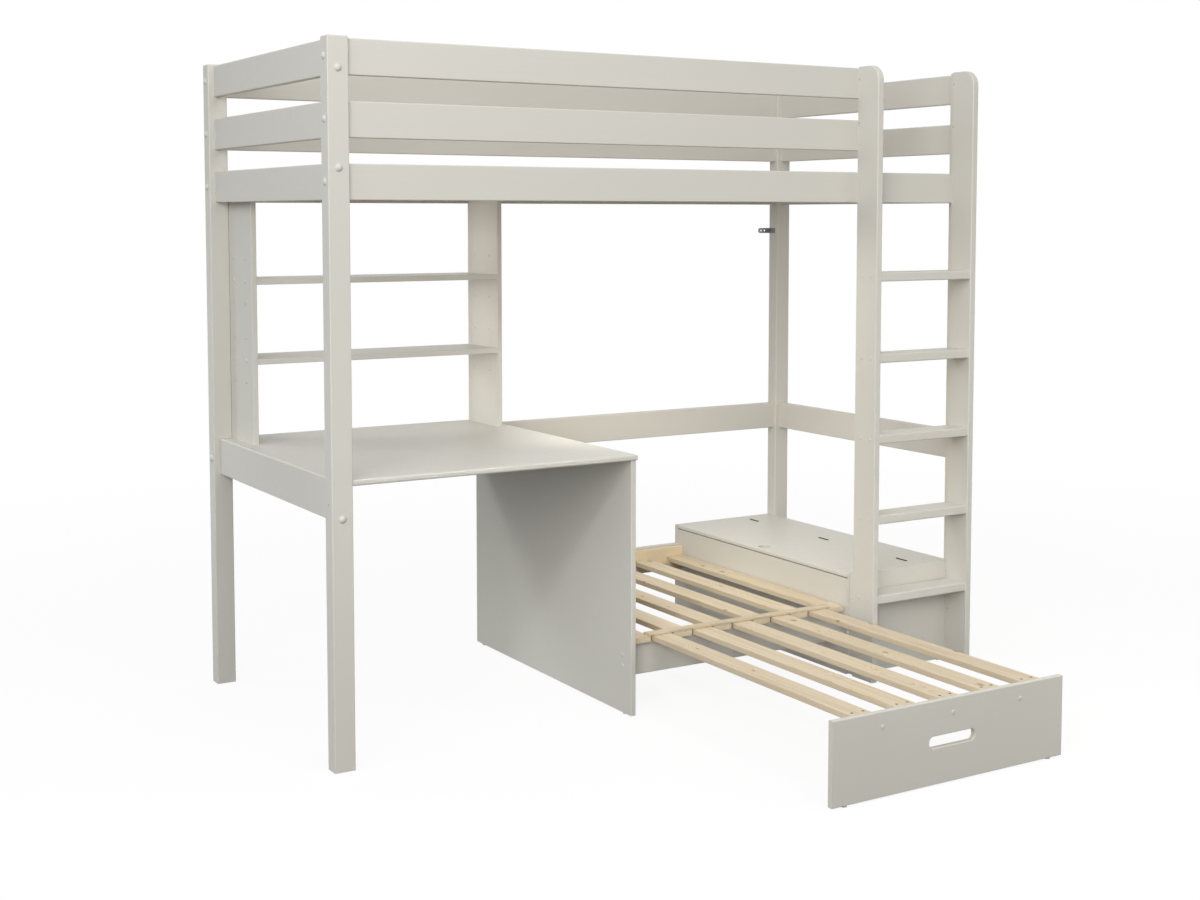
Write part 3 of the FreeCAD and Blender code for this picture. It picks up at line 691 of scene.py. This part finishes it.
def screw_head(radius):
    """A countersunk head with a cross recess, almost flush with the XY plane."""
    rise = radius * 0.08
    sink = radius * 0.35
    rim = radius * 0.06
    cross_size = (radius * 1.15, radius * 0.26, radius * 0.5)
    head = round_blank(radius, -sink, rise, sides=24)
    edit(head)
    choose_top(head)
    bpy.ops.mesh.bevel(offset=rim, segments=2, affect="EDGES")
    leave_edit()
    for turn in (0.0, math.radians(90)):
        deselect()
        bpy.ops.mesh.primitive_cube_add(
            size=1, location=(0, 0, rise), rotation=(0, 0, turn), scale=cross_size)
        cutter = bpy.context.object
        cut = head.modifiers.new("cross", "BOOLEAN")
        cut.operation = "DIFFERENCE"
        cut.solver = "EXACT"
        cut.object = cutter
        bpy.context.view_layer.objects.active = head
        bpy.ops.object.modifier_apply(modifier=cut.name)
        bpy.data.objects.remove(cutter, do_unlink=True)
    return head


def hollow_plug(radius):
    """A thin ring let into the wood round a small dark hole."""
    rise = radius * 0.12
    wall = radius * 0.16
    depth = radius * 0.8
    plug = round_blank(radius, -radius, rise, sides=24)
    edit(plug)
    choose_top(plug)
    bpy.ops.mesh.inset(thickness=wall)
    bpy.ops.mesh.extrude_region_move(TRANSFORM_OT_translate={"value": (0, 0, -depth)})
    leave_edit()
    return plug


def set_out(name, model, places, body, material):
    """Copies a model to each place, facing outwards there, and joins the copies into one piece."""
    deselect()
    copies = []
    for place, facing in places:
        copy = model.copy()
        copy.data = model.data.copy()
        turn = UP.rotation_difference(facing).to_matrix().to_4x4()
        copy.data.transform(Matrix.Translation(place) @ turn)
        bpy.context.collection.objects.link(copy)
        copy.select_set(True)
        copies.append(copy)
    bpy.data.objects.remove(model, do_unlink=True)
    piece = copies[0]
    bpy.context.view_layer.objects.active = piece
    if len(copies) > 1:
        bpy.ops.object.join()
    piece.name = name
    piece.data.name = name
    piece.data.materials.clear()
    piece.data.materials.append(material)
    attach(piece, body)


def corners(node):
    """Lowest and highest corner of a CAD node."""
    low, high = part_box(node)
    return Vector(low), Vector(high)


def middle(node):
    """Middle of a CAD node's box."""
    low, high = corners(node)
    return (low + high) / 2


def slat_pitch(node, width, count):
    """Step from slat to slat along X, in a row of like slats."""
    low, high = corners(node)
    return (high.x - low.x - width) / (count - 1)


def slat_centres(node, width, count):
    """Where the middle of each slat lies along X, in a row of like slats."""
    first = corners(node)[0].x + width / 2
    pitch = slat_pitch(node, width, count)
    return [first + index * pitch for index in range(count)]


class HIGHSLEEPER_OT_paint_boards(bpy.types.Operator):
    """Paints the posts, rails, ladder stiles and rungs, with the grain along each board"""
    bl_idname = "highsleeper.paint_boards"
    bl_label = "Paint Boards"

    def execute(self, context):
        coat_nodes(UPRIGHT_BOARDS, painted("paint_upright_boards", ALONG_Z, grain_share=1.0))
        coat_nodes(LONG_BOARDS, painted("paint_long_boards", ALONG_X, grain_share=1.0))
        coat_nodes(CROSS_BOARDS, painted("paint_cross_boards", ALONG_Y, grain_share=1.0))
        return {"FINISHED"}


class HIGHSLEEPER_OT_paint_panels(bpy.types.Operator):
    """Paints the desk, shelves, box and guest bed front, which are smooth board"""
    bl_idname = "highsleeper.paint_panels"
    bl_label = "Paint Panels"

    joint_below = 0.0021
    joint_above = 0.0011
    joint_depth = 0.0035
    painted_joint_darkness = 0.52

    def execute(self, context):
        coat_nodes(PANELS, painted("paint_panels", ALONG_Y, grain_share=0.0))
        # Painted shade in the narrow joint between the lid and the box's left panel, just below and above the
        # lid's underside
        lid = corners("box_lid")[0]
        joint = {
            "Joint Low": lid.z - self.joint_below, "Joint High": lid.z + self.joint_above,
            "Joint Reach": lid.x + self.joint_depth, "Joint Shade": self.painted_joint_darkness}
        coat_nodes(LID_PAINTED_SHADE_PANELS, painted("paint_lid_joint", ALONG_Y, grain_share=0.0, **joint))
        return {"FINISHED"}


class HIGHSLEEPER_OT_finish_pine(bpy.types.Operator):
    """Gives the slats and battens their bare pine"""
    bl_idname = "highsleeper.finish_pine"
    bl_label = "Finish Pine"

    def execute(self, context):
        low = corners("seat_fixed_slats")[0]
        gap = SEAT_SLAT_PITCH - SEAT_SLAT_WIDTH
        seat = planed_pine("pine_seat_slats", ALONG_Y, low.x - gap / 2, SEAT_SLAT_PITCH, low.z)
        coat_nodes(SEAT_SLATS, seat)
        low = corners("bed_slats")[0]
        pitch = slat_pitch("bed_slats", BED_SLAT_WIDTH, BED_SLATS)
        gap = pitch - BED_SLAT_WIDTH
        bed = planed_pine("pine_bed_slats", ALONG_Y, low.x - gap / 2, pitch, low.z)
        coat_nodes(("bed_slats",), bed)
        for index, name in enumerate(PINE_BATTENS):
            low, high = corners(name)
            width = high.y - low.y
            start = -high.y - width * (index + 1)
            # The tone paints light onto the rear board and partly paints shade onto the guide strip
            tone = BATTEN_TONES_AND_PAINTED_LIGHT.get(name, 1.0)
            batten = planed_pine("pine_" + name, ALONG_X, start, width * 2, low.z, tone)
            coat_nodes((name,), batten)
        return {"FINISHED"}


class HIGHSLEEPER_OT_finish_fittings(bpy.types.Operator):
    """Gives bolts, hinges, bracket, bolt caps and glides their steel and plastic"""
    bl_idname = "highsleeper.finish_fittings"
    bl_label = "Finish Fittings"

    def execute(self, context):
        coat_nodes(STEEL_FITTINGS, zinc_steel())
        coat_nodes(HINGE_PARTS, hinge_steel())
        coat_nodes(("bolt_caps",), cap_plastic())
        coat_nodes(GLIDES, glide_plastic())
        return {"FINISHED"}


class HIGHSLEEPER_OT_rung_caps(bpy.types.Operator):
    """Sets cover caps over the screws that hold the rungs, on the outer face of both stiles"""
    bl_idname = "highsleeper.rung_caps"
    bl_label = "Rung Caps"

    height_share = 0.5

    def execute(self, context):
        sizes = settings().fittings
        left = corners("ladder_stile_left")[0].x
        right = corners("ladder_stile_right")[1].x
        places = []
        for number in range(1, RUNGS + 1):
            low, high = corners(f"ladder_rung_{number}")
            height = (low.z + high.z) / 2
            for share in RUNG_CAP_SHARES:
                depth = low.y + (high.y - low.y) * share
                places.append((Vector((left, depth, height)), LEFT))
                places.append((Vector((right, depth, height)), RIGHT))
        model = cover_cap(sizes.cap_radius, sizes.cap_height * self.height_share)
        set_out("rung_screw_caps", model, places, "frame", cap_plastic())
        return {"FINISHED"}


class HIGHSLEEPER_OT_guest_panel_caps(bpy.types.Operator):
    """Sets three cover caps near the top of the guest bed's front panel"""
    bl_idname = "highsleeper.guest_panel_caps"
    bl_label = "Guest Panel Caps"

    drop = 0.037

    def execute(self, context):
        sizes = settings().fittings
        low, high = corners("guest_front_panel")
        places = []
        for share in GUEST_CAP_SHARES:
            place = Vector((low.x + (high.x - low.x) * share, low.y, high.z - self.drop))
            places.append((place, FRONT))
        model = cover_cap(sizes.cap_radius, sizes.cap_height)
        set_out("guest_panel_caps", model, places, "guest_bed", cap_plastic())
        return {"FINISHED"}


class HIGHSLEEPER_OT_desk_panel_caps(bpy.types.Operator):
    """Sets two cover caps where the seat rail is screwed to the desk's side panel"""
    bl_idname = "highsleeper.desk_panel_caps"
    bl_label = "Desk Panel Caps"

    spread = 0.015
    size_share = 1.25

    def execute(self, context):
        sizes = settings().fittings
        rail = middle("seat_front_rail")
        face = corners("desk_leg_panel")[0].x
        places = [(Vector((face, rail.y, rail.z + step)), LEFT) for step in (-self.spread, self.spread)]
        model = cover_cap(sizes.cap_radius * self.size_share, sizes.cap_height)
        set_out("desk_panel_caps", model, places, "frame", cap_plastic())
        return {"FINISHED"}


class HIGHSLEEPER_OT_shelf_fittings(bpy.types.Operator):
    """Caps the shelf screws and plugs the spare peg holes of both uprights"""
    bl_idname = "highsleeper.shelf_fittings"
    bl_label = "Shelf Fittings"

    plug_height = 0.0009
    hole_share = 0.5

    def execute(self, context):
        sizes = settings().fittings
        caps = []
        plugs = []
        for upright, outside in (("shelf_upright_left", LEFT), ("shelf_upright_right", RIGHT)):
            low, high = corners(upright)
            outer = low.x if outside == LEFT else high.x
            for share in PEG_SHARES:
                depth = low.y + (high.y - low.y) * share
                for shelf in ("shelf_lower", "shelf_upper"):
                    level = middle(shelf).z
                    caps.append((Vector((outer, depth, level)), outside))
                    for step in (-PEG_STEP, PEG_STEP):
                        plugs.append((Vector((low.x, depth, level + step)), LEFT))
                        plugs.append((Vector((high.x, depth, level + step)), RIGHT))
        model = cover_cap(sizes.cap_radius, sizes.cap_height)
        set_out("shelf_screw_caps", model, caps, "frame", cap_plastic())
        model = cover_cap(sizes.peg_plug_radius, self.plug_height)
        set_out("shelf_peg_plugs", model, plugs, "frame", cap_plastic())
        holes = [(place + facing * self.plug_height, facing) for place, facing in plugs]
        model = hollow_plug(sizes.peg_plug_radius * self.hole_share)
        set_out("shelf_plug_holes", model, holes, "frame", bored_recess())
        return {"FINISHED"}


class HIGHSLEEPER_OT_slat_screws(bpy.types.Operator):
    """Screws the sliding slats to their front batten and the bed slats to their ledgers"""
    bl_idname = "highsleeper.slat_screws"
    bl_label = "Slat Screws"

    spread = 0.017
    end_setback = 0.012

    def execute(self, context):
        radius = settings().fittings.screw_radius
        top = corners("guest_slats")[1].z
        batten = middle("guest_front_batten")
        places = []
        for centre in slat_centres("guest_slats", SEAT_SLAT_WIDTH, SLIDING_SLATS):
            for step in (-self.spread, self.spread):
                places.append((Vector((centre + step, batten.y, top)), UP))
        set_out("guest_slat_screws", screw_head(radius), places, "guest_bed", hinge_steel())
        low, high = corners("bed_slats")
        places = []
        for centre in slat_centres("bed_slats", BED_SLAT_WIDTH, BED_SLATS):
            for end in (low.y + self.end_setback, high.y - self.end_setback):
                places.append((Vector((centre, end, high.z)), UP))
        set_out("bed_slat_screws", screw_head(radius), places, "frame", zinc_steel())
        return {"FINISHED"}


class HIGHSLEEPER_OT_ladder_plugs(bpy.types.Operator):
    """Lets small hollow plugs into the left faces of the ladder stiles and the front left post"""
    bl_idname = "highsleeper.ladder_plugs"
    bl_label = "Ladder Plugs"

    setback = 0.0045
    rises = (("front_rail_top", 0.012), ("front_rail_middle", 0.036))
    foot_setback = 0.009
    foot_drop = 0.070

    def execute(self, context):
        places = []
        for stile in ("ladder_stile_left", "ladder_stile_right"):
            low, high = corners(stile)
            for rail, rise in self.rises:
                places.append((Vector((low.x, high.y - self.setback, middle(rail).z + rise)), LEFT))
        low, high = corners("ladder_stile_right")
        foot = corners("ladder_rung_1")[0].z - self.foot_drop
        places.append((Vector((low.x, high.y - self.foot_setback, foot)), LEFT))
        post = corners("post_front_left")[0]
        places.append((Vector((post.x, middle("post_front_left").y, middle("left_desk_rail").z)), LEFT))
        model = hollow_plug(settings().fittings.hole_radius)
        set_out("ladder_plugs", model, places, "frame", bored_recess())
        return {"FINISHED"}


class HIGHSLEEPER_OT_box_fittings(bpy.types.Operator):
    """Caps the screw in the end of the box front and screws the wall bracket to its post"""
    bl_idname = "highsleeper.box_fittings"
    bl_label = "Box and Bracket Fittings"

    cap_drop = 0.074
    cap_share = 0.6
    strap_depth = 0.002
    screw_setback = 0.014

    def execute(self, context):
        sizes = settings().fittings
        low, high = corners("box_front_panel")
        cap = Vector((low.x, (low.y + high.y) / 2, high.z - self.cap_drop))
        model = cover_cap(sizes.cap_radius * self.cap_share, sizes.cap_height * self.cap_share)
        set_out("box_front_cap", model, [(cap, LEFT)], "frame", cap_plastic())
        low, high = corners("wall_bracket")
        screw = Vector((high.x - self.strap_depth, low.y + self.screw_setback, (low.z + high.z) / 2))
        model = screw_head(sizes.screw_radius)
        set_out("bracket_screw", model, [(screw, LEFT)], "frame", zinc_steel())
        return {"FINISHED"}


class HIGHSLEEPER_OT_stage(bpy.types.Operator):
    """Lays the floor, hangs the lamps and sets up the camera"""
    bl_idname = "highsleeper.stage"
    bl_label = "Stage"

    floor_half = 30.0
    floor_glow = 0.90
    shadow_reach = 1.6
    shadow_end = 4.8
    cloud_scale = 0.8
    cloud_tones = (0.96, 1.0)
    room_colour = (1.0, 1.0, 0.99, 1.0)
    sensor = 36.0

    def execute(self, context):
        stage = settings().stage
        self.lay_floor(stage)
        self.light_room(context.scene, stage)
        for lamp in LAMPS:
            self.hang_lamp(stage, *lamp)
        self.set_camera(context.scene, stage)
        return {"FINISHED"}

    def seen_rays(self, tree):
        """One for rays that show the background: from the camera, or by gloss or glass."""
        rays = put(tree, "ShaderNodeLightPath").outputs
        mirrored = calc(tree, "MAXIMUM", rays["Is Glossy Ray"], rays["Is Transmission Ray"])
        return calc(tree, "MAXIMUM", rays["Is Camera Ray"], mirrored)

    def lay_floor(self, stage):
        """A wide pale sheet that shows white and keeps a soft shadow."""
        deselect()
        bpy.ops.mesh.primitive_plane_add(size=self.floor_half * 2, location=(0, 0, 0))
        floor = bpy.context.object
        floor.name = "studio_floor"
        edit(floor)
        bpy.ops.mesh.select_all(action="SELECT")
        bpy.ops.mesh.subdivide(number_cuts=6)
        bpy.ops.object.mode_set(mode="OBJECT")
        material = bpy.data.materials.new("studio_floor")
        material.use_nodes = True
        tree = material.node_tree
        tree.nodes.clear()
        place = put(tree, "ShaderNodeTexCoord").outputs["Object"]
        cloud = remap(tree, noise(tree, place, self.cloud_scale, detail=3.0), NOISE_RANGE, self.cloud_tones)
        sheet = shade(tree, stage.floor_colour, cloud)
        seen = self.seen_rays(tree)
        colour = blend_colours(tree, seen, sheet, WHITE)
        matt = put(tree, "ShaderNodeBsdfDiffuse", {"Color": colour})
        glow = put(tree, "ShaderNodeEmission", {"Color": WHITE, "Strength": 1.0})
        reach = (self.shadow_reach, self.shadow_end)
        bright = remap(tree, length_of(tree, place), reach, (self.floor_glow, 1.0))
        share = calc(tree, "MULTIPLY", seen, bright)
        mixed = put(tree, "ShaderNodeMixShader", {0: share, 1: matt.outputs[0], 2: glow.outputs[0]})
        put(tree, "ShaderNodeOutputMaterial", {"Surface": mixed.outputs[0]})
        floor.data.materials.append(material)

    def light_room(self, scene, stage):
        """Even light from all round, with a white background."""
        world = bpy.data.worlds.new("studio_room")
        scene.world = world
        world.use_nodes = True
        tree = world.node_tree
        tree.nodes.clear()
        even = put(tree, "ShaderNodeBackground", {"Color": self.room_colour, "Strength": stage.ambient})
        white = put(tree, "ShaderNodeBackground", {"Color": WHITE, "Strength": 1.0})
        seen = self.seen_rays(tree)
        mixed = put(tree, "ShaderNodeMixShader", {0: seen, 1: even.outputs[0], 2: white.outputs[0]})
        put(tree, "ShaderNodeOutputWorld", {"Surface": mixed.outputs[0]})

    def hang_lamp(self, stage, name, place, aim, width, height, spread, colour):
        """A soft box that faces the bed and stays out of the picture."""
        facing = (Vector(aim) - Vector(place)).to_track_quat("-Z", "Y").to_euler()
        deselect()
        bpy.ops.object.light_add(type="AREA", location=place, rotation=facing)
        lamp = bpy.context.object
        lamp.name = name
        lamp.visible_camera = False
        lamp.data.shape = "RECTANGLE"
        lamp.data.size = width
        lamp.data.size_y = height
        lamp.data.spread = math.radians(spread)
        lamp.data.energy = getattr(stage, name + "_power")
        lamp.data.color = colour

    def set_camera(self, scene, stage):
        """The camera of the photograph."""
        deselect()
        turn = (math.radians(90) - stage.camera_pitch, 0.0, -stage.camera_yaw)
        bpy.ops.object.camera_add(location=stage.camera_place, rotation=turn)
        camera = bpy.context.object
        camera.name = "studio_camera"
        camera.data.sensor_width = self.sensor
        camera.data.sensor_fit = "HORIZONTAL"
        camera.data.lens = stage.lens
        camera.data.shift_y = stage.shift
        scene.camera = camera
        scene.view_settings.view_transform = "Standard"


STEPS = (
    HIGHSLEEPER_OT_paint_boards, HIGHSLEEPER_OT_paint_panels, HIGHSLEEPER_OT_finish_pine,
    HIGHSLEEPER_OT_finish_fittings, HIGHSLEEPER_OT_rung_caps, HIGHSLEEPER_OT_guest_panel_caps,
    HIGHSLEEPER_OT_desk_panel_caps, HIGHSLEEPER_OT_shelf_fittings, HIGHSLEEPER_OT_slat_screws,
    HIGHSLEEPER_OT_ladder_plugs, HIGHSLEEPER_OT_box_fittings, HIGHSLEEPER_OT_stage,
)


class HIGHSLEEPER_PT_panel(bpy.types.Panel):
    """The bed's settings and steps in the sidebar"""
    bl_idname = "HIGHSLEEPER_PT_panel"
    bl_label = "High Sleeper"
    bl_space_type = "VIEW_3D"
    bl_region_type = "UI"
    bl_category = "High Sleeper"

    def draw(self, context):
        values = context.scene.high_sleeper
        for part in (values.paint, values.pine, values.fittings, values.stage):
            box = self.layout.box()
            for name in part.__annotations__:
                box.prop(part, name)
        for step in STEPS:
            self.layout.operator(step.bl_idname)


CLASSES = (PaintSettings, PineSettings, FittingSettings, StageSettings, HighSleeperSettings,
           *STEPS, HIGHSLEEPER_PT_panel)


def register():
    for item in CLASSES:
        bpy.utils.register_class(item)
    bpy.types.Scene.high_sleeper = PointerProperty(type=HighSleeperSettings)


def unregister():
    del bpy.types.Scene.high_sleeper
    for item in reversed(CLASSES):
        bpy.utils.unregister_class(item)


def main():
    """Runs every step in order."""
    register()
    for step in STEPS:
        group, name = step.bl_idname.split(".")
        getattr(getattr(bpy.ops, group), name)()


if __name__ == "__main__":
    main()
